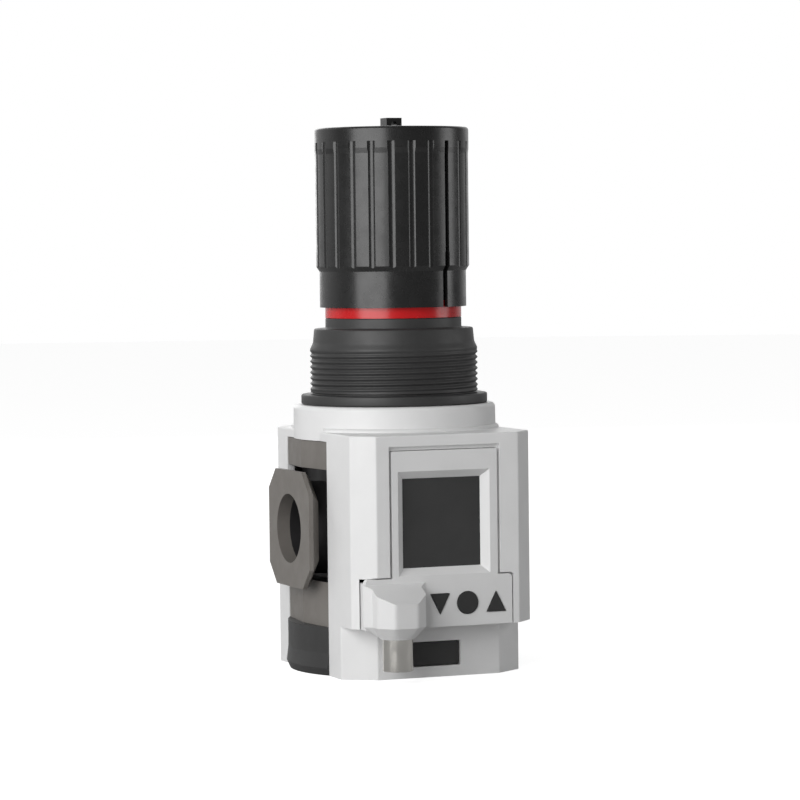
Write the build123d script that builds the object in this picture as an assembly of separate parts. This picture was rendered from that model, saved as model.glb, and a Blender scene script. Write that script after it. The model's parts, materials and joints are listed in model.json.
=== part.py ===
"""In-line air pressure regulator with a locking hand knob and a pressure sensor on its front.

Millimetres, +Z up. The origin is on the knob's axis, at the surface that the regulator stands on.
The sensor's face looks along -Y, the inlet port along -X and the outlet port along +X.
"""
import os
from math import cos, radians, sin

from build123d import *

# Fits and gaps used all over the part
fit_gap = 0.05            # radial gap of a pushed or screwed fit inside one body
slide_gap = 0.3           # gap beside a piece that slides or turns
panel_gap = 0.15          # gap between two moulded pieces that sit flush
overlap = 1.0             # how far ribs and cutters run past the face that they meet

# Ports
port_span = 62.0          # between the two port faces
port_z = 38.6             # height of the port axis
port_bore_r = 9.32        # minor radius of the G1/2 thread
port_depth = 15.0
flange_side = 31.3        # octagonal face round each port
flange_corner = 5.5
flange_rim = 1.2
flange_back = 2.4         # length and inset of the tapered back of the flange
neck_r = 12.5

# Body casting
core_r = 22.8
prow_apex_x = 27.2        # shallow V of the painted shoulders between the covers
recess_below = 13.6       # black recess round each neck, from the port axis
recess_above = 16.3
recess_depth = 5.8        # from the prow's apex inwards
web_t = 3.0               # wall between inlet and outlet sides
valve_room_r = 9.5
outlet_room_r = 9.0
outlet_roof_t = 6.0       # metal between the outlet room and the diaphragm room
passage_wall = 0.5        # metal left between the port bore and its half-moon passage
stem_hole_r = 2.0
sense_hole_r = 1.5
sense_hole_x = 6.0
diaphragm_room_r = 17.5
diaphragm_room_h = 8.0
plug_bore_r = 15.2
plug_bore_h = 9.5
body_rim_r = 23.2
pad_half_w = 11.0         # flat pad that the sensor is screwed to
pad_low_z = 18.6
pad_drop = 5.0            # from the side opening's top edge down to the pad's top

# Hood, the light shell round the body
wall = 2.0
hood_half_x = 25.6
hood_front_y = 37.4
hood_front_side_y = 32.1
hood_front_flat_x = 20.2
skirt_h = 14.2
skirt_half_x = 25.6
skirt_front_y = 29.9
skirt_front_side_y = 24.2
skirt_flat_x = 17.4
hood_rear_y = 29.9
hood_rear_side_y = 23.1
hood_rear_flat_x = 17.4
hood_corner_r = 0.8
skirt_corner_r = 0.8
hood_edge_r = 0.5
opening_half_y = 15.2     # side opening that drops over the port
opening_top = 62.5
lintel_t = 2.4            # top plate over the opening
ring_h = 6.7
ring_top_r = 27.4
ring_foot_r = 27.5
ring_bore_r = 26.0
ring_fillet = 1.0
ring_edge = 1.2
lip_t = 1.6
lip_bore_r = 23.5
window_left_x = -7.35     # latch window in the front of the skirt
window_right_x = 6.2
window_low_z = 2.9
window_high_z = 9.55

# Base plug, the black cap under the body
cap_h = 13.0
cap_top_r = 29.7
cap_foot_r = 30.2
cap_foot_z = 2.0
cap_flare_z = 6.0
cap_edge = 0.9
cap_disc_r = 22.6
cap_wall = 3.0
cap_top_t = 4.0
cap_boss_r = 6.5
cap_rib_t = 2.0
cap_rib_count = 6
lug_inset = 0.6
plug_r = 15.0
plug_guide_r = 3.8
plug_guide_h = 5.7
oring_groove_z = 16.0
oring_groove_h = 2.4
oring_wire_r = 0.8

# Valve
seat_r = 7.0
seat_bore_r = 4.8
seat_lip = 0.5
seat_shoulder = 0.8
poppet_head_r = 6.6
poppet_head_h = 3.5
seal_r = 5.9
seal_t = 1.8
seal_bore_r = 2.2
poppet_guide_r = 2.35
poppet_guide_len = 13.0
poppet_stem_r = 1.6
valve_lift = 1.6
valve_spring_r = 5.3
valve_spring_wire = 0.8
valve_spring_turns = 5

# Diaphragm and its plates
diaphragm_t = 1.6
diaphragm_web_t = 1.0
diaphragm_roll = 1.2
lower_plate_r = 9.0
upper_plate_r = 13.0
plate_t = 1.4
hub_r = 3.0
hub_drop = 3.6
hub_head = 0.5
vent_r = 0.9
spring_boss_h = 2.0

# Bonnet
spigot_r = 21.0
spigot_h = 6.0
bonnet_flange_r = 25.3
bonnet_flange_h = 2.7
bonnet_flange_edge = 0.7
undercut_r = 22.2
undercut_h = 0.5
collar_r = 22.8          # outside of the fine panel thread
collar_h = 11.7
taper_r = 21.95
taper_h = 1.7
crown_r = 21.6
crown_h = 3.85
crown_edge = 0.5
neck_show_r = 18.5
neck_show_h = 2.9
sleeve_r = 17.0
spring_room_r = 14.5
bell_r = 17.5
bell_top = 15.0           # height of the wide bell above the flange's seat
bell_cone = 4.0
bonnet_h = 46.4           # above the flange's seat
roof_t = 4.0
key_w = 3.0
key_inner_r = 13.0

# Adjusting screw, nut and main spring
screw_r = 4.0
screw_h = 31.0
screw_tip = 1.0
screw_collar_r = 7.2
screw_collar_t = 2.0
washer_t = 1.0
washer_r = 7.6
clip_t = 1.0
clip_r = 4.3
clip_groove_r = 3.4
hex_flat = 7.8
hex_h = 13.0
nut_t = 8.0
nut_drop = 10.0           # from the roof down to the nut's top, knob at its middle setting
nut_boss_h = 1.5
spring_inner_r = 8.0
spring_wire_w = 3.0
spring_wire_h = 2.2
spring_turns = 4.5

# Red ring that shows while the knob is unlocked
red_ring_r = 18.5
red_ring_h = 4.6
red_ring_show = 2.85       # height left showing under the knob

# Knob
knob_bore_r = 18.8
knob_ring_r = 19.9
knob_ring_h = 9.7
knob_grip_r = 20.8
knob_swell_r = 20.95
knob_step_h = 1.4
knob_h = 48.4
knob_swell_h = 42.7       # start of the wider band under the top
knob_band_h = 44.5        # end of the grooves
knob_round = 0.8
flute_count = 24
flute_r = 1.6
flute_depth = 0.3
index_deg = -66.7         # deep groove and slot that mark one side of the knob
index_w = 1.4
index_floor_r = 19.7
slot_w = 1.7
slot_h = 14.8
lock_travel = 3.8
socket_r = 8.0
socket_gap = 0.15
knob_rib_count = 6
knob_rib_t = 1.4
knob_floor_t = 3.3
knob_cap_r = 17.2
knob_cap_t = 1.8
knob_cap_rim_w = 1.0
knob_cap_rim_h = 0.5

# Locking tab in the knob's top
tab_w = 4.4
tab_d = 4.6
tab_show = 2.7
tab_foot = 8.2
tab_foot_t = 1.2
tab_hole_w = 1.7
tab_hole_h = 4.4
tab_hole_top = 1.0
tab_pull = 4.0            # travel of the tab before its foot meets the cap

# Sensor housing; its face lies in the plane of the hood's front
panel_left_x = -15.8
panel_right_x = 14.05
panel_drop = 1.75         # from the side opening's top edge down to the sensor's top
keypad_left_x = -23.5
keypad_right_x = 18.1
keypad_top_z = 27.4
keypad_corner_r = 1.0
panel_side_gap = 0.8      # shallow groove that frames the sensor in the hood's front
panel_top_gap = 1.2
keypad_gap = 0.4
frame_depth = 1.0
case_wall = 1.0
case_back_y = -25.6
case_step_y = -30.2       # the case is shallower in front of this depth, over the skirt's ledge
case_step_wall = 1.2
case_low_z = 16.8
case_inset = 0.4
back_t = 1.5
glass_left_x = -12.15
glass_right_x = 9.9
glass_low_z = 29.85
glass_drop = 7.35         # from the sensor's top down to the pane's visible top
bevel = 2.0
glass_t = 1.0
glass_seat = 1.0
module_t = 3.0
module_edge = 0.5
board_t = 1.6
board_gap = 0.3
key_z = 20.2
key_down_x = -2.55
key_select_x = 5.28
key_up_x = 13.45
key_size = 5.3
key_dot_r = 2.95
key_proud = 0.25
key_flange = 0.4
key_flange_t = 1.0
key_post_r = 1.3
key_travel = 0.5
dome_r = 1.9
dome_t = 0.6

# Pressure cell between the sensor's board and the body
cell_x = -1.0
cell_r = 5.0
nozzle_r = 2.4
nozzle_len = 5.0
cell_ring_wire_r = 0.55
sense_way_r = 1.2
screw_x = 6.5
low_screw_z = 24.0
high_screw_drop = 10.5
m3_r = 1.5
m3_head_r = 2.75
m3_head_h = 2.0
m3_depth = 6.0

# Connector and the boss that carries it
boss_x = -15.5
boss_half_w = 6.9
boss_nose_half_w = 3.2
boss_front_y = -46.4
boss_cheek_y = -42.6
boss_top_z = 26.1
boss_nose_z = 21.6
boss_low_z = 15.2
boss_edge_r = 1.6
boss_flare = 1.8
plug_axis_y = -39.5
boss_mouth_r = 4.5
connector_r = 4.0
connector_top_z = 12.0
connector_h = 8.4
connector_stem_r = 3.2
connector_stem_h = 5.5
connector_cup_r = 3.4
connector_cup_h = 6.4
insert_r = 2.55
insert_show = 2.0
pin_r = 0.5
pin_ring_r = 1.4
pin_count = 4
pin_show = 2.6

# Heights and depths that follow from the sizes above
hood_top = opening_top + lintel_t
ring_top = hood_top + ring_h
diaphragm_top = ring_top - spigot_h
ledge_z = diaphragm_top - diaphragm_t
room_floor = ledge_z - diaphragm_room_h
rim_top = ring_top - lip_t - slide_gap / 2
web_low = port_z - web_t / 2
web_high = port_z + web_t / 2
outlet_room_top = room_floor - outlet_roof_t
cell_z = (web_high + outlet_room_top) / 2
recess_low = port_z - recess_below
recess_high = port_z + recess_above
recess_x = prow_apex_x - recess_depth
prow_half_y = opening_half_y - panel_gap
prow_edge_x = hood_half_x - panel_gap
front_y = -hood_front_y
wall_back_y = front_y + bevel
panel_top_z = opening_top - panel_drop
glass_high_z = panel_top_z - glass_drop
pad_high_z = opening_top - pad_drop
high_screw_z = opening_top - high_screw_drop
pad_y = case_back_y + back_t
flange_top = ring_top + bonnet_flange_h
collar_low = flange_top + undercut_h
collar_top = collar_low + collar_h
crown_low = collar_top + taper_h
neck_low = crown_low + crown_h
neck_top = neck_low + neck_show_h
bonnet_top = ring_top + bonnet_h
roof_low = bonnet_top - roof_t
washer_low = roof_low - washer_t
screw_top = washer_low - screw_collar_t
screw_low = screw_top - screw_h
nut_top = roof_low - nut_drop
nut_low = nut_top - nut_t
spring_low = diaphragm_top + plate_t
clip_low = bonnet_top + slide_gap / 3
clip_top = clip_low + clip_t
hex_top = clip_top + hex_h
knob_low = neck_top + red_ring_show
knob_top = knob_low + knob_h
socket_low = clip_top + lock_travel + slide_gap
socket_high = hex_top + lock_travel + slide_gap
cap_recess_z = knob_top - knob_cap_t
tab_pocket_low = cap_recess_z - tab_foot_t - tab_pull - slide_gap
knob_floor_z = cap_recess_z - knob_floor_t
plug_top = cap_h + plug_bore_h - fit_gap
poppet_top = web_low - seat_lip
poppet_low = poppet_top - poppet_head_h
seal_low = poppet_top - seal_t
hub_low = ledge_z - hub_drop
glass_back_y = wall_back_y + glass_t
board_y = glass_back_y + module_t
key_centres = {"key_down": key_down_x, "key_select": key_select_x, "key_up": key_up_x}


# Simple forms
def disc(radius, low, high):
    """Upright cylinder on the main axis."""
    return Pos(0, 0, (low + high) / 2) * Cylinder(radius, high - low)


def tube(outer, inner, low, high):
    """Upright ring on the main axis."""
    return disc(outer, low, high) - disc(inner, low, high)


def rod_x(radius, x_low, x_high, y=0.0, z=port_z):
    """Cylinder along X."""
    return Pos((x_low + x_high) / 2, y, z) * Rot(0, 90, 0) * Cylinder(radius, x_high - x_low)


def rod_y(radius, y_low, y_high, x, z):
    """Cylinder along Y."""
    return Pos(x, (y_low + y_high) / 2, z) * Rot(90, 0, 0) * Cylinder(radius, y_high - y_low)


def block(x_low, x_high, y_low, y_high, z_low, z_high):
    """Box between two corners."""
    middle = Pos((x_low + x_high) / 2, (y_low + y_high) / 2, (z_low + z_high) / 2)
    return middle * Box(x_high - x_low, y_high - y_low, z_high - z_low)


def turned(outline, corner=None, rounding=0.0):
    """Solid of revolution of an outline of (radius, height) points, with one corner rounded if asked."""
    face = make_face(Polyline(*outline, close=True))
    if corner:
        face = fillet(face.vertices().sort_by_distance(corner)[0], rounding)
    return revolve(Plane.XZ * face, Axis.Z)


def rect(x_low, x_high, z_low, z_high):
    """Upright rectangle in X and Z, drawn in its own flat plane."""
    return Pos((x_low + x_high) / 2, (z_low + z_high) / 2) * Rectangle(x_high - x_low, z_high - z_low)


def slab(sketch, y_low, y_high):
    """Plate with an outline in X and Z, between two depths."""
    return extrude(Plane.XZ.offset(-y_high) * sketch, amount=y_high - y_low)


def raised(sketch, low, high):
    """Prism with an outline in X and Y, between two heights."""
    return extrude(Pos(0, 0, low) * sketch, amount=high - low)


def seal_ring(mean_r, section_r):
    """Rubber ring round the main axis; its round section is eight-sided."""
    section = Pos(mean_r, 0) * RegularPolygon(section_r, 8)
    return revolve(Plane.XZ * section, Axis.Z)


def coil(mean_r, wire_w, wire_h, low, high, turns):
    """Compression spring of flat wire between two seats."""
    height = high - low - wire_h
    first = low + wire_h / 2
    path = Pos(0, 0, first) * Helix(pitch=height / turns, height=height, radius=mean_r)
    section = Pos(mean_r, 0, first) * Rot(90, 0, 0) * Rectangle(wire_w, wire_h)
    return sweep(section, path=path, is_frenet=True)


# Plan of the hood
def plan(half_x, front, front_side, front_flat, corner_r, inset=0.0):
    """Eight-sided plan of the hood, drawn in by inset on every side."""
    corners = [
        (-half_x, hood_rear_side_y), (-hood_rear_flat_x, hood_rear_y),
        (hood_rear_flat_x, hood_rear_y), (half_x, hood_rear_side_y),
        (half_x, -front_side), (front_flat, -front), (-front_flat, -front), (-half_x, -front_side),
    ]
    face = make_face(Polyline(*corners, close=True))
    if inset:
        return offset(face, -inset, kind=Kind.INTERSECTION)
    return fillet(face.vertices(), corner_r)


def upper_plan(inset=0.0):
    return plan(hood_half_x, hood_front_y, hood_front_side_y, hood_front_flat_x, hood_corner_r, inset)


def skirt_plan(inset=0.0):
    return plan(skirt_half_x, skirt_front_y, skirt_front_side_y, skirt_flat_x, skirt_corner_r, inset)


# Outline of the sensor's face, a T on its head
def face_outline(side=0.0, top=0.0, step=0.0, low=skirt_h):
    """Narrow display part over a wide keypad part, grown by the given gaps."""
    display = rect(panel_left_x - side, panel_right_x + side, low, panel_top_z + top)
    keypad = rect(keypad_left_x - step, keypad_right_x + step, low, keypad_top_z + step)
    upper = keypad.vertices().group_by(Axis.Y)[-1]
    return display + fillet(upper, keypad_corner_r)


def case_outline(inset=0.0, low=case_low_z):
    """Outline of the sensor's case behind its face."""
    left, low = panel_left_x + case_inset + inset, low + inset
    display = rect(left, panel_right_x - case_inset - inset, low, panel_top_z - case_inset - inset)
    keypad = rect(left, keypad_right_x - case_inset - inset, low, keypad_top_z - inset)
    return display + keypad


def key_outline(name, grow=0.0):
    """Symbol of one key: a triangle pointing down or up, or a dot."""
    x = key_centres[name]
    if name == "key_select":
        return Pos(x, key_z) * Circle(key_dot_r + grow)
    point = -1 if name == "key_down" else 1
    half = key_size / 2
    corners = [(x - half, key_z - point * half), (x + half, key_z - point * half), (x, key_z + point * half)]
    symbol = make_face(Polyline(*corners, close=True))
    return offset(symbol, grow) if grow else symbol


# Body and valve
def body_casting():
    """Die-cast body with both ports, the valve room, the outlet room and the diaphragm room."""
    half_span = port_span / 2
    prow = make_face(Polyline(
        (-prow_edge_x, prow_half_y), (-prow_apex_x, 0), (-prow_edge_x, -prow_half_y),
        (prow_edge_x, -prow_half_y), (prow_apex_x, 0), (prow_edge_x, prow_half_y), close=True))
    body = disc(core_r, cap_h, ledge_z) + raised(prow, cap_h, opening_top - panel_gap)
    body += tube(body_rim_r, spigot_r + fit_gap, ledge_z - web_t, rim_top)
    body += block(-pad_half_w, pad_half_w, pad_y, 0, pad_low_z, pad_high_z)
    for side in (-1, 1):
        outer = side * half_span
        inner = side * recess_x
        body -= block(min(outer, inner), max(outer, inner), -half_span, half_span, recess_low, recess_high)
        body += rod_x(neck_r, min(outer, inner), max(outer, inner))
        face = chamfer(Rectangle(flange_side, flange_side).vertices(), flange_corner)
        back = chamfer(Rectangle(flange_side - 2 * flange_back, flange_side - 2 * flange_back).vertices(),
                       flange_corner)
        planes = [Plane((side * x, 0, port_z), x_dir=(0, 1, 0), z_dir=(1, 0, 0))
                  for x in (half_span, half_span - flange_rim, half_span - flange_rim - flange_back)]
        body += extrude(planes[0] * face, amount=-side * flange_rim)
        body += loft([planes[1] * face, planes[2] * back])
        mouth = side * (half_span - port_depth)
        body -= rod_x(port_bore_r, min(outer, mouth), max(outer, mouth))

    # Half-moon passages: inlet below the web, outlet above it
    passage_r = port_bore_r - passage_wall
    reach = half_span - port_depth
    inlet = rod_x(passage_r, -reach - fit_gap, 0) & block(-half_span, 0, -neck_r, neck_r, cap_h, web_low)
    outlet = rod_x(passage_r, 0, reach + fit_gap) & block(0, half_span, -neck_r, neck_r, web_high, ledge_z)
    body -= inlet
    body -= outlet

    body -= disc(plug_bore_r, cap_h, cap_h + plug_bore_h)
    body -= disc(valve_room_r, cap_h + plug_bore_h, web_low)
    body -= disc(seat_r + fit_gap, web_low, web_high)
    body -= disc(outlet_room_r, web_high, outlet_room_top)
    body -= disc(stem_hole_r, web_high, room_floor)
    body -= Pos(sense_hole_x, 0, 0) * disc(sense_hole_r, web_high, room_floor)
    body -= disc(diaphragm_room_r, room_floor, ledge_z)

    # Pressure way to the sensor, and its screw holes
    body -= rod_y(nozzle_r + 2 * cell_ring_wire_r, pad_y, case_back_y + nozzle_len + slide_gap, cell_x, cell_z)
    body -= rod_y(sense_way_r, pad_y, 0, cell_x, cell_z) & block(-core_r, core_r, pad_y, 0, web_high, ledge_z)
    for x, z in screw_places():
        body -= rod_y(m3_r + fit_gap, pad_y, pad_y + m3_depth, x, z)
    return body


def screw_places():
    """Screws of the sensor, one at the lower left and one at the upper right."""
    return [(-screw_x, low_screw_z), (screw_x, high_screw_z)]


def base_plug():
    """Black cap with its screwed plug, valve guide and the latch lug that shows in the skirt."""
    cap = turned([(0, 0), (cap_foot_r - cap_edge, 0), (cap_foot_r, cap_foot_z), (cap_top_r, cap_flare_z),
                  (cap_top_r, cap_h), (0, cap_h)])
    cap &= block(-cap_foot_r, cap_foot_r, -prow_half_y, prow_half_y, 0, cap_h)
    cap += disc(cap_disc_r, 0, cap_h)
    cap -= disc(cap_disc_r - cap_wall, 0, cap_h - cap_top_t) - disc(cap_boss_r, 0, cap_h)
    for step in range(cap_rib_count):
        rib = block(cap_boss_r - overlap, cap_disc_r - cap_wall + overlap, -cap_rib_t / 2, cap_rib_t / 2,
                    cap_wall, cap_h - cap_top_t)
        cap += Rot(0, 0, step * 360 / cap_rib_count) * rib
    lug_front = -skirt_front_y + lug_inset
    cap += block(window_left_x + slide_gap, window_right_x - slide_gap, lug_front, -cap_disc_r + cap_wall,
                 window_low_z + slide_gap, window_high_z - slide_gap)
    plug = disc(plug_r, cap_h, plug_top) + disc(plug_guide_r, plug_top, plug_top + plug_guide_h)
    plug -= tube(plug_r, plug_r - 2 * oring_wire_r, oring_groove_z, oring_groove_z + oring_groove_h)
    guide_floor = poppet_low - poppet_guide_len - valve_lift - slide_gap
    return cap + plug - disc(poppet_guide_r + slide_gap, guide_floor, plug_top + plug_guide_h)


def plug_oring():
    """Seal round the base plug."""
    middle = oring_groove_z + oring_groove_h / 2
    return Pos(0, 0, middle) * seal_ring(plug_r - oring_wire_r, oring_wire_r)


def valve_seat():
    """Brass seat pressed into the web, with a raised lip under it."""
    return turned([
        (seat_bore_r, web_low - seat_lip), (seat_bore_r + seat_lip, web_low - seat_lip),
        (seat_bore_r + 2 * seat_lip, web_low - seat_lip / 2), (seat_r, web_low - seat_lip / 2),
        (seat_r, web_high), (seat_r + seat_shoulder, web_high),
        (seat_r + seat_shoulder, web_high + seat_shoulder), (seat_bore_r, web_high + seat_shoulder)])


def valve_poppet():
    """Valve body: lower guide, cupped head and the long stem up to the diaphragm."""
    cup_rim = poppet_top - seal_t / 2
    return turned([
        (0, poppet_low - poppet_guide_len), (poppet_guide_r, poppet_low - poppet_guide_len),
        (poppet_guide_r, poppet_low), (poppet_head_r, poppet_low), (poppet_head_r, cup_rim),
        (seal_r, cup_rim), (seal_r, seal_low), (seal_bore_r, seal_low), (seal_bore_r, poppet_top),
        (poppet_stem_r, poppet_top + seal_bore_r), (poppet_stem_r, hub_low), (0, hub_low)])


def poppet_seal():
    """Rubber ring in the head's cup that closes on the seat's lip."""
    return tube(seal_r, seal_bore_r, seal_low, poppet_top)


def valve_spring():
    """Spring that closes the valve."""
    return coil(valve_spring_r, valve_spring_wire, valve_spring_wire, plug_top, poppet_low, valve_spring_turns)


# Diaphragm and spring side
def diaphragm():
    """Rubber disc with a rolled fold between its plates and its clamped rim."""
    fold_low = diaphragm_top - diaphragm_roll - diaphragm_web_t
    fold_in = upper_plate_r + slide_gap
    fold_out = diaphragm_room_r - slide_gap
    middle = (fold_in + fold_out) / 2
    return turned([
        (hub_r, ledge_z), (fold_in, ledge_z), (middle, fold_low), (fold_out, ledge_z),
        (spigot_r, ledge_z), (spigot_r, diaphragm_top), (fold_out, diaphragm_top),
        (middle, fold_low + diaphragm_web_t), (fold_in, diaphragm_top), (hub_r, diaphragm_top)])


def lower_plate():
    """Plate under the diaphragm, with the vented hub that the valve stem pushes against."""
    rivet_top = diaphragm_top + plate_t + hub_head
    return turned([
        (vent_r, hub_low), (hub_r + hub_head, hub_low), (hub_r + hub_head, ledge_z - plate_t),
        (lower_plate_r, ledge_z - plate_t), (lower_plate_r, ledge_z), (hub_r, ledge_z),
        (hub_r, diaphragm_top + plate_t), (hub_r + hub_head, diaphragm_top + plate_t),
        (hub_r + hub_head, rivet_top), (vent_r, rivet_top)])


def upper_plate():
    """Plate over the diaphragm, with the ring that centres the main spring."""
    top = diaphragm_top + plate_t
    ring_out = spring_inner_r - slide_gap
    return turned([
        (hub_r, diaphragm_top), (upper_plate_r, diaphragm_top), (upper_plate_r, top), (ring_out, top),
        (ring_out, top + spring_boss_h), (ring_out - plate_t, top + spring_boss_h),
        (ring_out - plate_t, top), (hub_r, top)])


def main_spring():
    """Setting spring between the upper plate and the nut."""
    return coil(spring_inner_r + spring_wire_w / 2, spring_wire_w, spring_wire_h, spring_low, nut_low,
                spring_turns)


def spring_nut():
    """Nut that rides up and down on the screw, kept from turning by the bonnet's two keys."""
    nut = disc(spring_room_r - slide_gap, nut_low, nut_top)
    nut += disc(spring_inner_r - slide_gap, nut_low - nut_boss_h, nut_low)
    nut -= disc(screw_r + slide_gap, nut_low - nut_boss_h, nut_top)
    half = key_w / 2 + slide_gap
    for side in (-1, 1):
        reach = sorted((side * (key_inner_r - slide_gap), side * spring_room_r))
        nut -= block(reach[0], reach[1], -half, half, nut_low, nut_top)
    return nut


def adjusting_screw():
    """Screw that the knob turns: thread, collar under the roof, journal, clip groove and hexagon."""
    turned_part = turned([
        (0, screw_low), (screw_r - screw_tip, screw_low), (screw_r, screw_low + screw_tip),
        (screw_r, screw_top), (screw_collar_r, screw_top), (screw_collar_r, washer_low),
        (screw_r, washer_low), (screw_r, clip_low), (clip_groove_r, clip_low), (clip_groove_r, clip_top),
        (0, clip_top)])
    hexagon = RegularPolygon(hex_flat / 2, 6, major_radius=False)
    return turned_part + raised(hexagon, clip_top, hex_top)


def thrust_washer():
    """Washer between the screw's collar and the bonnet's roof."""
    return tube(washer_r, screw_r + slide_gap, washer_low, roof_low)


def circlip():
    """Retaining ring above the roof."""
    ring = tube(clip_r + clip_t, clip_groove_r, clip_low, clip_top)
    return ring - block(0, 2 * clip_r, -clip_t, clip_t, clip_low, clip_top)


def bonnet():
    """Black spring housing: spigot, flange, threaded collar, neck and roof."""
    shell = turned([
        (bell_r, diaphragm_top), (spigot_r, diaphragm_top), (spigot_r, ring_top),
        (bonnet_flange_r - bonnet_flange_edge, ring_top), (bonnet_flange_r, ring_top + bonnet_flange_edge),
        (bonnet_flange_r, flange_top - bonnet_flange_edge), (bonnet_flange_r - bonnet_flange_edge, flange_top),
        (undercut_r, flange_top), (undercut_r, collar_low), (collar_r, collar_low), (collar_r, collar_top),
        (taper_r, crown_low), (crown_r, neck_low - crown_edge), (crown_r - crown_edge, neck_low),
        (neck_show_r, neck_low), (neck_show_r, neck_top), (sleeve_r, neck_top),
        (sleeve_r, bonnet_top - crown_edge), (sleeve_r - crown_edge, bonnet_top),
        (screw_r + slide_gap, bonnet_top), (screw_r + slide_gap, roof_low), (spring_room_r, roof_low),
        (spring_room_r, ring_top + bell_top + bell_cone), (bell_r, ring_top + bell_top)])
    key_low = ring_top + bell_top + bell_cone
    for side in (-1, 1):
        reach = sorted((side * key_inner_r, side * (spring_room_r + fit_gap)))
        shell += block(reach[0], reach[1], -key_w / 2, key_w / 2, key_low, roof_low)
    return shell


def indicator_ring():
    """Red ring on the neck, hidden by the knob once it is pushed down."""
    return tube(red_ring_r, sleeve_r, neck_top, neck_top + red_ring_h)


# Knob
def knob():
    """Fluted hand knob with its hexagon socket and the recess for its cap."""
    band_top = knob_low + knob_band_h
    outline = [
        (0, knob_low), (knob_ring_r, knob_low), (knob_ring_r, knob_low + knob_ring_h),
        (knob_grip_r, knob_low + knob_ring_h + knob_step_h), (knob_grip_r, knob_low + knob_swell_h - knob_step_h),
        (knob_swell_r, knob_low + knob_swell_h), (knob_swell_r, knob_top - knob_round)]
    shoulder = (knob_swell_r - knob_round, knob_top)
    side = Polyline(*outline)
    rim = RadiusArc(outline[-1], shoulder, -knob_round)
    top = Polyline(shoulder, (0, knob_top), outline[0])
    shell = revolve(Plane.XZ * make_face([side, rim, top]), Axis.Z)
    shell -= disc(knob_bore_r, knob_low, knob_floor_z)
    shell += disc(socket_r, socket_low, knob_floor_z)
    for step in range(knob_rib_count):
        rib = block(socket_r - overlap, knob_bore_r + fit_gap, -knob_rib_t / 2, knob_rib_t / 2,
                    socket_low, knob_floor_z)
        shell += Rot(0, 0, step * 360 / knob_rib_count) * rib
    socket = RegularPolygon(hex_flat / 2 + socket_gap, 6, major_radius=False)
    shell -= raised(socket, socket_low, socket_high)
    foot = tab_foot / 2 + slide_gap
    shell -= block(-foot, foot, -foot, foot, tab_pocket_low, cap_recess_z)
    shell -= disc(knob_cap_r, cap_recess_z, knob_top)
    flute = Pos(knob_grip_r - flute_depth + flute_r, 0, 0) * disc(flute_r, knob_low + knob_ring_h, band_top)
    for step in range(1, flute_count):
        shell -= Rot(0, 0, index_deg + step * 360 / flute_count) * flute
    index = block(index_floor_r, 2 * index_floor_r, -index_w / 2, index_w / 2, knob_low, band_top)
    index += block(knob_bore_r - overlap, 2 * knob_grip_r, -slot_w / 2, slot_w / 2, knob_low, knob_low + slot_h)
    return shell - Rot(0, 0, index_deg) * index


def knob_cap():
    """Disc let into the knob's top, with the guide slot for the locking tab."""
    half_w = tab_w / 2 + slide_gap
    half_d = tab_d / 2 + slide_gap
    cap = disc(knob_cap_r - fit_gap, cap_recess_z, knob_top)
    cap += block(-half_w - knob_cap_rim_w, half_w + knob_cap_rim_w, -half_d - knob_cap_rim_w,
                 half_d + knob_cap_rim_w, knob_top, knob_top + knob_cap_rim_h)
    return cap - block(-half_w, half_w, -half_d, half_d, cap_recess_z, knob_top + knob_cap_rim_h)


def lock_tab():
    """Tab that is pulled up out of the pushed-down knob to take a padlock."""
    top = knob_top + tab_show
    foot = tab_foot / 2
    tab = block(-tab_w / 2, tab_w / 2, -tab_d / 2, tab_d / 2, tab_pocket_low, top)
    tab += block(-foot, foot, -foot, foot, tab_pocket_low, tab_pocket_low + tab_foot_t)
    middle = top - tab_hole_top - tab_hole_h / 2
    eye = Pos(0, middle) * Rot(0, 0, 90) * SlotOverall(tab_hole_h, tab_hole_w)
    return tab - slab(eye, -tab_d, tab_d)


# Hood
def hood():
    """Light moulded shell that drops over the body: flat-faced top, narrower skirt and round ring."""
    shell = raised(upper_plan(), skirt_h, hood_top)
    shell = fillet(shell.faces().sort_by(Axis.Z)[-1].edges(), hood_edge_r)
    shell += raised(skirt_plan(), 0, skirt_h)
    ring = turned([
        (lip_bore_r, opening_top), (ring_foot_r, opening_top), (ring_foot_r, hood_top),
        (ring_top_r, ring_top), (lip_bore_r, ring_top)], (ring_top_r, ring_top), ring_edge)
    toe = (ring_foot_r + ring_fillet, hood_top)
    heel = (ring_foot_r, hood_top + ring_fillet)
    flare = make_face([Polyline(toe, (lip_bore_r, hood_top), (lip_bore_r, heel[1]), heel),
                       RadiusArc(heel, toe, ring_fillet)])
    flare = revolve(Plane.XZ * flare, Axis.Z) & raised(upper_plan(hood_edge_r), opening_top, ring_top)
    shell += ring
    shell += flare
    shell -= raised(upper_plan(wall), skirt_h + wall, opening_top)
    shell -= raised(skirt_plan(wall), 0, skirt_h + wall)
    shell -= disc(ring_bore_r, opening_top, ring_top - lip_t)
    shell -= disc(lip_bore_r, opening_top, ring_top)
    shell -= block(-2 * hood_half_x, 2 * hood_half_x, -opening_half_y, opening_half_y, 0, opening_top)
    groove = face_outline(panel_side_gap, panel_top_gap, keypad_gap)
    shell -= slab(groove, front_y - overlap, front_y + frame_depth)
    shell -= slab(face_outline(panel_gap, panel_gap, panel_gap), front_y, wall_back_y + fit_gap)
    ledge_cut = rect(keypad_left_x - keypad_gap, keypad_right_x + keypad_gap, skirt_h, keypad_top_z)
    shell -= slab(ledge_cut, front_y - overlap, -skirt_front_y - panel_gap)
    window = rect(window_left_x, window_right_x, window_low_z, window_high_z)
    return shell - slab(window, -skirt_front_y - overlap, -skirt_front_y + wall + overlap)


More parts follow.
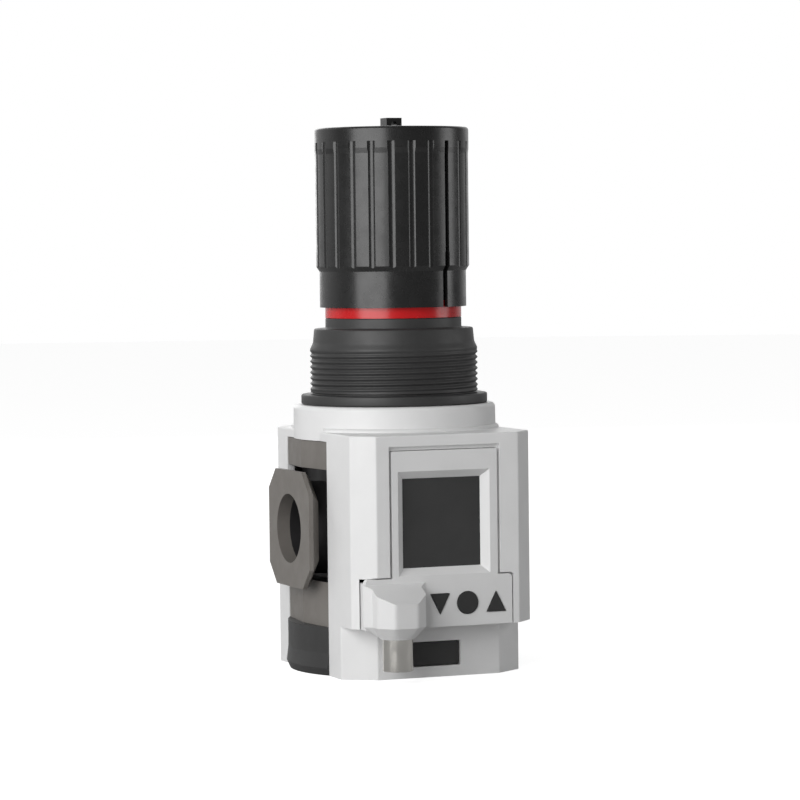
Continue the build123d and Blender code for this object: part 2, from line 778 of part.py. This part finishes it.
# Sensor
def sensor_housing():
    """Front shell of the sensor: T-shaped face, bevelled display frame, keypad and connector boss."""
    shell = slab(face_outline(), front_y, wall_back_y)
    case = slab(case_outline(low=skirt_h), wall_back_y, case_step_y) + slab(case_outline(), case_step_y, case_back_y)
    case -= slab(case_outline(case_wall, skirt_h), wall_back_y, case_step_y - case_step_wall)
    case -= slab(case_outline(case_wall), wall_back_y, case_back_y)
    shell += case
    shell += block(keypad_left_x, keypad_right_x, front_y, case_step_y, skirt_h, skirt_h + case_wall)
    shell += block(keypad_left_x, keypad_left_x + case_wall, front_y, -hood_front_side_y - 2 * panel_gap,
                   skirt_h, keypad_top_z - keypad_corner_r)
    shell += boss()
    front = rect(glass_left_x - bevel, glass_right_x + bevel, glass_low_z - bevel, glass_high_z + bevel)
    back = rect(glass_left_x, glass_right_x, glass_low_z, glass_high_z)
    shell -= loft([Plane.XZ.offset(-front_y) * front, Plane.XZ.offset(-wall_back_y) * back])
    for name in key_centres:
        shell -= slab(key_outline(name, panel_gap), front_y, wall_back_y)
    bore = Pos(boss_x, plug_axis_y, 0)
    shell -= bore * disc(connector_stem_r + fit_gap, 0, connector_top_z + connector_stem_h + slide_gap)
    return shell


def boss():
    """Faceted boss on the keypad's left, with a sloping top and a tapered mouth."""
    nose, half = boss_nose_half_w, boss_half_w
    corners = [(-half - boss_flare, front_y), (-half, front_y - boss_flare), (-half, boss_cheek_y),
               (-nose, boss_front_y), (nose, boss_front_y), (half, boss_cheek_y),
               (half, front_y - boss_flare), (half + boss_flare, front_y), (half, wall_back_y),
               (-half, wall_back_y)]
    outline = make_face(Polyline(*[(boss_x + x, y) for x, y in corners], close=True))
    rounded = fillet([v for v in outline.vertices() if v.Y < boss_cheek_y + fit_gap], boss_edge_r)
    body = raised(rounded, boss_low_z, boss_top_z)
    depth = front_y - boss_front_y
    slope = make_face(Polyline((front_y, boss_top_z), (boss_front_y, boss_nose_z),
                               (boss_front_y - overlap, boss_nose_z),
                               (boss_front_y - overlap, boss_top_z + overlap),
                               (front_y, boss_top_z + overlap), close=True))
    cut = extrude(Plane.YZ.offset(boss_x - 2 * depth) * slope, amount=4 * depth)
    mouth = Pos(boss_x, plug_axis_y, connector_top_z) * Circle(boss_mouth_r)
    taper = loft([Pos(0, 0, boss_low_z) * rounded, mouth])
    return body - cut + taper - block(-2 * hood_half_x, 2 * hood_half_x, front_y, 0, 0, skirt_h)


def display_window():
    """Clear pane behind the bevelled frame."""
    pane = rect(glass_left_x - glass_seat, glass_right_x + glass_seat,
                glass_low_z - glass_seat, glass_high_z + glass_seat)
    return slab(pane, wall_back_y, glass_back_y)


def display_module():
    """Display block between the pane and the board."""
    face = rect(glass_left_x - module_edge, glass_right_x + module_edge,
                glass_low_z - module_edge, glass_high_z + module_edge)
    return slab(face, glass_back_y, board_y)


def circuit_board():
    """Board that fills the case's outline."""
    return slab(case_outline(case_wall + board_gap), board_y, board_y + board_t)


def key_domes():
    """Three switch domes on the board, one behind each key."""
    return Compound([rod_y(dome_r, board_y - dome_t, board_y, x, key_z) for x in key_centres.values()])


def key(name):
    """One key: symbol, flange behind the face and post down to its dome."""
    top = slab(key_outline(name), front_y - key_proud, wall_back_y + slide_gap / 3)
    flange = slab(key_outline(name, key_flange), wall_back_y + slide_gap / 3,
                  wall_back_y + slide_gap / 3 + key_flange_t)
    post = rod_y(key_post_r, wall_back_y + slide_gap / 3, board_y - dome_t - key_travel, key_centres[name], key_z)
    return top + flange + post


def sensor_back():
    """Back plate of the sensor, screwed to the body's pad."""
    plate = slab(case_outline(), case_back_y, pad_y)
    plate -= rod_y(nozzle_r + fit_gap, case_back_y, pad_y, cell_x, cell_z)
    for x, z in screw_places():
        plate -= rod_y(m3_r + fit_gap, case_back_y, pad_y, x, z)
    return plate


def pressure_cell():
    """Measuring cell between the board and the back plate, with its nozzle into the body."""
    cell = rod_y(cell_r, board_y + board_t, case_back_y, cell_x, cell_z)
    cell += rod_y(nozzle_r, case_back_y, case_back_y + nozzle_len, cell_x, cell_z)
    return cell - rod_y(sense_way_r, case_back_y, case_back_y + nozzle_len, cell_x, cell_z)


def cell_oring():
    """Seal round the cell's nozzle."""
    place = Pos(cell_x, pad_y + 2 * cell_ring_wire_r, cell_z) * Rot(90, 0, 0)
    return place * seal_ring(nozzle_r + cell_ring_wire_r, cell_ring_wire_r - fit_gap / 2)


def sensor_screws():
    """Screws that hold the back plate to the body."""
    screws = []
    for x, z in screw_places():
        head = rod_y(m3_head_r, case_back_y - m3_head_h, case_back_y, x, z)
        head -= rod_y(m3_r - slide_gap, case_back_y - m3_head_h, case_back_y - m3_head_h / 2, x, z)
        screws.append(head + rod_y(m3_r, case_back_y, pad_y + m3_depth - slide_gap, x, z))
    return Compound(screws)


# Connector
def on_connector(shape):
    """Move a piece made on the main axis to the connector's axis."""
    return Pos(boss_x, plug_axis_y, 0) * shape


def connector_shell():
    """Threaded metal shell under the boss."""
    low = connector_top_z - connector_h
    shell = disc(connector_r, low, connector_top_z)
    shell += disc(connector_stem_r, connector_top_z, connector_top_z + connector_stem_h)
    shell -= disc(connector_cup_r, low, low + connector_cup_h)
    shell -= disc(insert_r + fit_gap, low, connector_top_z + connector_stem_h)
    return on_connector(shell)


def connector_insert():
    """Insulating core that holds the pins."""
    low = connector_top_z - connector_h + connector_cup_h - insert_show
    core = disc(insert_r, low, connector_top_z + connector_stem_h)
    for x, y in pin_places():
        core -= Pos(x, y, 0) * disc(pin_r, low, connector_top_z + connector_stem_h)
    return on_connector(core)


def pin_places():
    """Pin centres round the connector's own axis."""
    angles = [radians(45 + step * 360 / pin_count) for step in range(pin_count)]
    return [(pin_ring_r * cos(a), pin_ring_r * sin(a)) for a in angles]


def connector_pins():
    """Contact pins."""
    low = connector_top_z - connector_h + connector_cup_h - insert_show - pin_show
    pins = [Pos(x, y, 0) * disc(pin_r, low, connector_top_z + connector_stem_h) for x, y in pin_places()]
    return Compound([on_connector(pin) for pin in pins])


nodes = {
    "body_casting": body_casting,
    "base_plug": base_plug,
    "plug_oring": plug_oring,
    "valve_seat": valve_seat,
    "valve_poppet": valve_poppet,
    "poppet_seal": poppet_seal,
    "valve_spring": valve_spring,
    "diaphragm": diaphragm,
    "lower_plate": lower_plate,
    "upper_plate": upper_plate,
    "main_spring": main_spring,
    "spring_nut": spring_nut,
    "adjusting_screw": adjusting_screw,
    "thrust_washer": thrust_washer,
    "circlip": circlip,
    "bonnet": bonnet,
    "indicator_ring": indicator_ring,
    "knob": knob,
    "knob_cap": knob_cap,
    "lock_tab": lock_tab,
    "hood": hood,
    "sensor_housing": sensor_housing,
    "display_window": display_window,
    "display_module": display_module,
    "circuit_board": circuit_board,
    "key_domes": key_domes,
    "sensor_back": sensor_back,
    "pressure_cell": pressure_cell,
    "cell_oring": cell_oring,
    "sensor_screws": sensor_screws,
    "connector_shell": connector_shell,
    "connector_insert": connector_insert,
    "connector_pins": connector_pins,
}

os.makedirs("parts", exist_ok=True)
for node, make in nodes.items():
    export_step(make(), f"parts/{node}.step")
for node in key_centres:
    export_step(key(node), f"parts/{node}.step")
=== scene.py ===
"""Finish, studio and camera for the in-line air pressure regulator.

Metres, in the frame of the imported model: the origin is on the knob's axis at the floor, +Z is up
and the sensor's face looks along -Y. Azimuths are in degrees: 0 is in front of the sensor's face,
90 is on the outlet's side.
"""
import json
from math import atan2, ceil, cos, floor, pi, radians, sin, tan

import bmesh
import bpy
from mathutils import Matrix, Vector


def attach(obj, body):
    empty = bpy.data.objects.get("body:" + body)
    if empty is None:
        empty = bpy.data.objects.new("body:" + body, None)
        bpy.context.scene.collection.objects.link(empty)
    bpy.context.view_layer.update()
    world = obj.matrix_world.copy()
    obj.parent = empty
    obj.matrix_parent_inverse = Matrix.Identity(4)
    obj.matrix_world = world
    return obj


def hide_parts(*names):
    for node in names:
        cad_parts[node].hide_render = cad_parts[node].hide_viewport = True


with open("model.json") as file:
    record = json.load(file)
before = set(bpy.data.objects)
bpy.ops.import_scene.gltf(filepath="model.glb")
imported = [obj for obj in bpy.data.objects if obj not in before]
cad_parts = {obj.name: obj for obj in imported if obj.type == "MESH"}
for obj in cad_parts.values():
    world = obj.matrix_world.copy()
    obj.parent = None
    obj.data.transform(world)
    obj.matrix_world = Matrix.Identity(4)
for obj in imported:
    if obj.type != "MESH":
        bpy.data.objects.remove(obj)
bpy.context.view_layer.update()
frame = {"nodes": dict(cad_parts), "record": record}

nodes = frame["nodes"]
scene = bpy.context.scene
mm = 0.001

# Camera, at the photograph's viewing angle
camera_azimuth = radians(-21.674)
camera_distance = 0.94077
camera_height = 0.11711
camera_yaw = radians(-0.095)
camera_pitch = radians(2.727)
camera_roll = radians(-0.679)
camera_lens = 155.6        # on a sensor 36 mm wide

# Studio
key_azimuth = -56.0
strip_azimuth = 70.0

# Spring housing, in millimetres: the CAD solid's own outline, with the thread that the solid leaves out
housing_foot_z = 65.6
housing_seat_z = 71.6      # underside of the flange, on the hood's ring
flange_top_z = 74.3
thread_low_z = 74.8
thread_top_z = 86.5
crown_low_z = 88.2
crown_top_z = 92.05
neck_top_z = 94.95
bell_top_z = 86.6
room_low_z = 90.6
roof_low_z = 114.0
housing_top_z = 118.0
bell_r = 17.5
spigot_r = 21.0
flange_r = 25.3
undercut_r = 22.2
thread_r = 22.8
taper_r = 21.95
crown_r = 21.6
neck_r = 18.5
sleeve_r = 17.0
room_r = 14.5
screw_way_r = 4.3
key_inner_r = 13.0
key_half_w = 1.5
thread_pitch = 1.5
thread_depth = 0.55
thread_rows = 10           # points along one pitch
round_steps = 240          # facets round the larger turned pieces


# Camera
def add_camera():
    """Camera on the photograph's line of sight, with its small roll."""
    back = Vector((sin(camera_azimuth), -cos(camera_azimuth), 0))
    ahead = Matrix.Rotation(camera_yaw, 3, "Z") @ -back
    up = Vector((0, 0, 1))
    right = ahead.cross(up)
    sight = ahead * cos(camera_pitch) - up * sin(camera_pitch)
    tilted_up = up * cos(camera_pitch) + ahead * sin(camera_pitch)
    rolled_right = right * cos(camera_roll) + tilted_up * sin(camera_roll)
    rolled_up = tilted_up * cos(camera_roll) - right * sin(camera_roll)
    data = bpy.data.cameras.new("camera")
    data.sensor_width = 36
    data.lens = camera_lens
    data.clip_start = 0.01
    camera = bpy.data.objects.new("camera", data)
    scene.collection.objects.link(camera)
    place = back * camera_distance + up * camera_height
    turn = Matrix((rolled_right, rolled_up, -sight)).transposed()
    camera.matrix_world = Matrix.Translation(place) @ turn.to_4x4()
    scene.camera = camera


# Studio
def lamp(name, azimuth, distance, low, high, width, radiance):
    """Upright soft box on a circle round the object, facing the axis."""
    tall = high - low
    data = bpy.data.lights.new(name, "AREA")
    data.shape = "RECTANGLE"
    data.size = width
    data.size_y = tall
    data.energy = radiance * pi * width * tall
    box = bpy.data.objects.new(name, data)
    scene.collection.objects.link(box)
    turn = radians(azimuth)
    box.location = (sin(turn) * distance, -cos(turn) * distance, (low + high) / 2)
    box.rotation_euler = (pi / 2, 0, turn)
    box.visible_camera = False
    return box


def light_path_sum(tree, *names):
    """Factor of 1 for rays of any of the named kinds."""
    path = tree.nodes.new("ShaderNodeLightPath")
    total = path.outputs[names[0]]
    for name in names[1:]:
        add = tree.nodes.new("ShaderNodeMath")
        add.operation = "MAXIMUM"
        tree.links.new(total, add.inputs[0])
        tree.links.new(path.outputs[name], add.inputs[1])
        total = add.outputs[0]
    return total


def add_world():
    """White to the camera, a dim room in front and a white sweep behind for reflections."""
    world = bpy.data.worlds.new("world")
    scene.world = world
    world.use_nodes = True
    tree = world.node_tree
    tree.nodes.clear()
    out = tree.nodes.new("ShaderNodeOutputWorld")
    white = tree.nodes.new("ShaderNodeBackground")
    white.inputs["Color"].default_value = (1, 1, 1, 1)
    white.inputs["Strength"].default_value = 1.0
    room = tree.nodes.new("ShaderNodeBackground")
    room.inputs["Color"].default_value = (1, 1, 1, 1)
    where = tree.nodes.new("ShaderNodeTexCoord")
    split = tree.nodes.new("ShaderNodeSeparateXYZ")
    tree.links.new(where.outputs["Generated"], split.inputs[0])
    fade = tree.nodes.new("ShaderNodeMapRange")
    fade.interpolation_type = "SMOOTHSTEP"
    fade.inputs["From Min"].default_value = 0.1
    fade.inputs["From Max"].default_value = 0.7
    fade.inputs["To Min"].default_value = 0.12
    fade.inputs["To Max"].default_value = 0.8
    tree.links.new(split.outputs["Y"], fade.inputs["Value"])
    tree.links.new(fade.outputs[0], room.inputs["Strength"])
    pick = tree.nodes.new("ShaderNodeMixShader")
    tree.links.new(light_path_sum(tree, "Is Camera Ray", "Is Transmission Ray"), pick.inputs[0])
    tree.links.new(room.outputs[0], pick.inputs[1])
    tree.links.new(white.outputs[0], pick.inputs[2])
    tree.links.new(pick.outputs[0], out.inputs["Surface"])


def add_floor():
    """Pale floor that reads as white to the camera and keeps a soft shadow."""
    mesh = bpy.data.meshes.new("floor")
    work = bmesh.new()
    bmesh.ops.create_circle(work, cap_ends=True, segments=96, radius=3.0)
    work.to_mesh(mesh)
    work.free()
    ground = bpy.data.objects.new("floor", mesh)
    scene.collection.objects.link(ground)
    surface = bpy.data.materials.new("floor")
    surface.use_nodes = True
    tree = surface.node_tree
    tree.nodes.clear()
    out = tree.nodes.new("ShaderNodeOutputMaterial")
    matte = tree.nodes.new("ShaderNodeBsdfDiffuse")
    matte.inputs["Color"].default_value = (0.5, 0.5, 0.5, 1)
    glow = tree.nodes.new("ShaderNodeEmission")
    glow.inputs["Strength"].default_value = 0.82
    lit = tree.nodes.new("ShaderNodeAddShader")
    tree.links.new(matte.outputs[0], lit.inputs[0])
    tree.links.new(glow.outputs[0], lit.inputs[1])
    pick = tree.nodes.new("ShaderNodeMixShader")
    tree.links.new(light_path_sum(tree, "Is Camera Ray"), pick.inputs[0])
    tree.links.new(matte.outputs[0], pick.inputs[1])
    tree.links.new(lit.outputs[0], pick.inputs[2])
    tree.links.new(pick.outputs[0], out.inputs["Surface"])
    mesh.materials.append(surface)


# Materials
def material(name, colour, roughness, metallic=0.0, specular=0.5):
    """Plain shader with its even values set on its own sockets."""
    made = bpy.data.materials.new(name)
    made.use_nodes = True
    shader = made.node_tree.nodes["Principled BSDF"]
    shader.inputs["Base Color"].default_value = (*colour, 1)
    shader.inputs["Roughness"].default_value = roughness
    shader.inputs["Metallic"].default_value = metallic
    shader.inputs["Specular IOR Level"].default_value = specular
    return made


def noise(made, size, detail=3.0, stretch=(1, 1, 1)):
    """Noise in the piece's own coordinates; size is its grain in metres."""
    tree = made.node_tree
    where = tree.nodes.new("ShaderNodeTexCoord")
    scale = tree.nodes.new("ShaderNodeMapping")
    scale.inputs["Scale"].default_value = stretch
    pattern = tree.nodes.new("ShaderNodeTexNoise")
    pattern.inputs["Scale"].default_value = 1 / size
    pattern.inputs["Detail"].default_value = detail
    tree.links.new(where.outputs["Object"], scale.inputs["Vector"])
    tree.links.new(scale.outputs[0], pattern.inputs["Vector"])
    return pattern.outputs["Fac"]


def spread(made, factor, low, high):
    """The factor's middle range spread between two values."""
    tree = made.node_tree
    node = tree.nodes.new("ShaderNodeMapRange")
    node.inputs["From Min"].default_value = 0.3
    node.inputs["From Max"].default_value = 0.7
    node.inputs["To Min"].default_value = low
    node.inputs["To Max"].default_value = high
    tree.links.new(factor, node.inputs["Value"])
    return node.outputs[0]


def tint(made, factor, dark, light):
    """Base colour between two tones."""
    tree = made.node_tree
    node = tree.nodes.new("ShaderNodeMix")
    node.data_type = "RGBA"
    node.inputs["A"].default_value = (*dark, 1)
    node.inputs["B"].default_value = (*light, 1)
    tree.links.new(factor, node.inputs["Factor"])
    tree.links.new(node.outputs["Result"], tree.nodes["Principled BSDF"].inputs["Base Color"])
    return node.outputs["Result"]


def vary_roughness(made, size, low, high):
    """Roughness that drifts between two values."""
    tree = made.node_tree
    value = spread(made, noise(made, size), low, high)
    tree.links.new(value, tree.nodes["Principled BSDF"].inputs["Roughness"])


def relief(made, height, depth, strength=1.0):
    """Bump from a height factor, chained on what the shader has already."""
    tree = made.node_tree
    socket = tree.nodes["Principled BSDF"].inputs["Normal"]
    bump = tree.nodes.new("ShaderNodeBump")
    bump.inputs["Strength"].default_value = strength
    bump.inputs["Distance"].default_value = depth
    tree.links.new(height, bump.inputs["Height"])
    if socket.links:
        tree.links.new(socket.links[0].from_socket, bump.inputs["Normal"])
    tree.links.new(bump.outputs[0], socket)


def moulded(name, dark, light, roughness, grain=0.25 * mm, depth=0.01 * mm):
    """Moulded plastic: faint flow mottling, a fine grain and a drifting sheen."""
    made = material(name, light, roughness)
    tint(made, spread(made, noise(made, 9 * mm, 4.0), 0.0, 1.0), dark, light)
    vary_roughness(made, 4 * mm, roughness - 0.04, roughness + 0.05)
    relief(made, noise(made, grain, 2.0), depth)
    return made


def gray(level):
    return (level, level, level)


def scaled(colour, factor):
    return tuple(channel * factor for channel in colour)


def band_mask(made, axis, low, high):
    """Factor of 1 where the piece's own coordinate along an axis lies between two values."""
    tree = made.node_tree
    where = tree.nodes.new("ShaderNodeTexCoord")
    split = tree.nodes.new("ShaderNodeSeparateXYZ")
    size = tree.nodes.new("ShaderNodeMath")
    size.operation = "ABSOLUTE"
    offset = tree.nodes.new("ShaderNodeMath")
    offset.operation = "COMPARE"
    offset.inputs[1].default_value = (low + high) / 2
    offset.inputs[2].default_value = (high - low) / 2
    tree.links.new(where.outputs["Object"], split.inputs[0])
    tree.links.new(split.outputs[axis], size.inputs[0])
    tree.links.new(size.outputs[0], offset.inputs[0])
    return offset.outputs[0]


def both(made, first, second):
    """Product of two factors."""
    tree = made.node_tree
    node = tree.nodes.new("ShaderNodeMath")
    node.operation = "MULTIPLY"
    tree.links.new(first, node.inputs[0])
    tree.links.new(second, node.inputs[1])
    return node.outputs[0]


def casting_paint():
    """Satin brown-grey paint over a cast surface; the colour is darkened to near black inside the recess round each
    neck.
    """
    made = material("casting_paint", (0.16, 0.148, 0.135), 0.42)
    tree = made.node_tree
    paint = tint(made, spread(made, noise(made, 6 * mm, 4.0), 0.0, 1.0), (0.150, 0.138, 0.126), (0.172, 0.160, 0.147))
    # colour darkened to near black by position inside the recess round each neck
    recess = both(made, band_mask(made, "X", 0.0, 27.35 * mm), band_mask(made, "Z", 24.9 * mm, 55.0 * mm))
    recess_darkening = tree.nodes.new("ShaderNodeMix")
    recess_darkening.data_type = "RGBA"
    recess_darkening.inputs["B"].default_value = (0.018, 0.017, 0.018, 1)
    tree.links.new(recess, recess_darkening.inputs["Factor"])
    tree.links.new(paint, recess_darkening.inputs["A"])
    tree.links.new(recess_darkening.outputs["Result"], tree.nodes["Principled BSDF"].inputs["Base Color"])
    vary_roughness(made, 5 * mm, 0.38, 0.5)
    relief(made, noise(made, 0.9 * mm, 3.0), 0.02 * mm)
    return made


def metal(name, colour, roughness, grain_size, stretch, depth):
    """Machined or plated metal with fine tool marks."""
    made = material(name, colour, roughness, metallic=1.0)
    tint(made, spread(made, noise(made, 3 * mm), 0.0, 1.0), scaled(colour, 0.93), colour)
    vary_roughness(made, 2 * mm, roughness * 0.85, roughness * 1.25)
    relief(made, noise(made, grain_size, 2.0, stretch), depth)
    return made


def smoked_glass():
    """Dark display pane."""
    made = material("display_glass", (0.04, 0.04, 0.042), 0.12)
    tint(made, spread(made, noise(made, 14 * mm), 0.0, 1.0), gray(0.036), gray(0.042))
    vary_roughness(made, 8 * mm, 0.16, 0.22)
    return made


finish = {
    "casting": casting_paint(),
    "black_plastic": moulded("base_plastic", gray(0.030), gray(0.036), 0.45),
    "bonnet_plastic": moulded("bonnet_plastic", gray(0.028), gray(0.034), 0.52),
    "knob_plastic": moulded("knob_plastic", gray(0.0125), gray(0.015), 0.26, 0.6 * mm, 0.003 * mm),
    "red_plastic": moulded("red_plastic", (0.50, 0.008, 0.010), (0.56, 0.010, 0.012), 0.25, 0.6 * mm, 0.003 * mm),
    "hood_plastic": moulded("hood_plastic", gray(0.70), gray(0.73), 0.42),
    "sensor_plastic": moulded("sensor_plastic", gray(0.67), gray(0.70), 0.42),
    "display_window": smoked_glass(),
    "display": moulded("display_face", gray(0.02), gray(0.024), 0.3),
    "board": moulded("board", (0.010, 0.10, 0.035), (0.014, 0.13, 0.05), 0.4),
    "key_rubber": moulded("key_rubber", gray(0.022), gray(0.028), 0.6),
    "rubber": moulded("rubber", gray(0.015), gray(0.02), 0.65),
    "brass": metal("brass", (0.72, 0.50, 0.22), 0.28, 0.2 * mm, (1, 1, 6), 0.004 * mm),
    "spring_steel": metal("zinc_steel", (0.52, 0.52, 0.50), 0.32, 0.3 * mm, (1, 1, 1), 0.004 * mm),
    "aluminium": metal("aluminium", (0.72, 0.72, 0.73), 0.35, 0.2 * mm, (1, 1, 6), 0.004 * mm),
    "white_plastic": moulded("white_plastic", gray(0.70), gray(0.76), 0.4),
    "nickel": metal("nickel_plate", (0.75, 0.73, 0.69), 0.16, 0.25 * mm, (1, 1, 5), 0.002 * mm),
    "contact_metal": metal("gold_plate", (0.90, 0.66, 0.28), 0.2, 0.2 * mm, (1, 1, 4), 0.002 * mm),
}


def dress():
    """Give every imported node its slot's finish."""
    for part in frame["record"]["subparts"]:
        piece = nodes[part["node"]]
        for slot in piece.material_slots:
            slot.material = finish[part["material_slot"]]


def soften(name, width, segments=2):
    """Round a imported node's sharp edges a little, as moulding and casting do."""
    piece = nodes[name]
    weld = piece.modifiers.new("weld", "WELD")
    weld.merge_threshold = 0.002 * mm
    round_off = piece.modifiers.new("round", "BEVEL")
    round_off.width = width
    round_off.segments = segments
    round_off.limit_method = "ANGLE"
    round_off.angle_limit = radians(28)
    round_off.use_clamp_overlap = True
    even = piece.modifiers.new("even", "WEIGHTED_NORMAL")
    even.mode = "FACE_AREA_WITH_ANGLE"
    even.keep_sharp = False


# Turned pieces
def eased(outline, ease, steps=3):
    """Closed outline with each corner eased by a short curve."""
    points = []
    for before, corner, after in zip(outline[-1:] + outline[:-1], outline, outline[1:] + outline[:1]):
        corner = Vector(corner)
        ways = [Vector(other) - corner for other in (before, after)]
        start, stop = [corner + way.normalized() * min(ease, way.length * 0.4) for way in ways]
        for step in range(steps + 1):
            part = step / steps
            points.append(start * (1 - part) ** 2 + corner * 2 * part * (1 - part) + stop * part ** 2)
    return points


def add_box(work, low, high):
    """Box between two corners, in millimetres."""
    made = bmesh.ops.create_cube(work, size=1.0)
    for vert in made["verts"]:
        vert.co = Vector([(a if c < 0 else b) * mm for a, b, c in zip(low, high, vert.co)])


def lathe(work, outline, steps, shift=None):
    """Closed outline of (radius, height) points in millimetres, turned round the main axis."""
    rings = []
    for step in range(steps):
        turn = 2 * pi * step / steps
        ring = []
        for radius, height in outline:
            reach = (radius + (shift(turn, radius, height) if shift else 0)) * mm
            ring.append(work.verts.new((reach * cos(turn), reach * sin(turn), height * mm)))
        rings.append(ring)
    for here, there in zip(rings, rings[1:] + rings[:1]):
        for index, vert in enumerate(here):
            after = (index + 1) % len(here)
            work.faces.new((vert, there[index], there[after], here[after]))


def finish_piece(name, work, surface, sharp=40.0):
    """Object from a mesh in work, smooth but for its sharp edges."""
    bmesh.ops.recalc_face_normals(work, faces=work.faces[:])
    mesh = bpy.data.meshes.new(name)
    work.to_mesh(mesh)
    work.free()
    mesh.materials.append(surface)
    mesh.shade_smooth()
    mesh.set_sharp_from_angle(angle=radians(sharp))
    piece = bpy.data.objects.new(name, mesh)
    scene.collection.objects.link(piece)
    return piece


def thread_shift(turn, radius, height):
    """Radial depth of the collar's fine thread, run out at both ends."""
    if radius < thread_r - thread_depth or not thread_low_z < height < thread_top_z:
        return 0.0
    phase = (height / thread_pitch - turn / (2 * pi)) % 1
    fade = min(1.0, (height - thread_low_z) / thread_pitch, (thread_top_z - height) / thread_pitch)
    return -thread_depth * fade * (0.5 - 0.5 * cos(2 * pi * phase))


def spring_housing():
    """The bonnet with its fine panel thread and eased edges."""
    rows = ceil((thread_top_z - thread_low_z) / thread_pitch * thread_rows)
    below = [
        (bell_r, housing_foot_z), (spigot_r, housing_foot_z), (spigot_r, housing_seat_z),
        (flange_r, housing_seat_z), (flange_r, flange_top_z), (undercut_r, flange_top_z),
        (undercut_r, thread_low_z), (thread_r, thread_low_z)]
    above = [
        (thread_r, thread_top_z), (taper_r, crown_low_z), (crown_r, crown_top_z), (neck_r, crown_top_z),
        (neck_r, neck_top_z), (sleeve_r, neck_top_z), (sleeve_r, housing_top_z), (screw_way_r, housing_top_z),
        (screw_way_r, roof_low_z), (room_r, roof_low_z), (room_r, room_low_z), (bell_r, bell_top_z)]
    outline = eased(below + above, 0.5)
    split = next(i for i, point in enumerate(outline) if point[1] > thread_low_z + 1 and point[0] > neck_r)
    low, high = outline[split - 1], outline[split]
    outline[split:split] = [low.lerp(high, row / rows) for row in range(1, rows)]
    work = bmesh.new()
    lathe(work, outline, round_steps, thread_shift)
    for side in (-1, 1):
        reach = sorted((side * key_inner_r, side * (room_r + 0.05)))
        add_box(work, (reach[0], -key_half_w, room_low_z), (reach[1], key_half_w, roof_low_z))
    piece = finish_piece("spring_housing", work, finish["bonnet_plastic"])
    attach(piece, "root")
    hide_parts("bonnet")


add_camera()
add_world()
add_floor()
lamp("key_box", key_azimuth, 0.9, -0.02, 0.9, 0.84, 4.4)
lamp("strip_box", strip_azimuth, 0.9, -0.02, 0.55, 0.4, 2.6)
lamp("back_box", 170.0, 1.1, 0.1, 0.8, 0.6, 1.6)
dress()
spring_housing()

scene.view_settings.view_transform = "Standard"
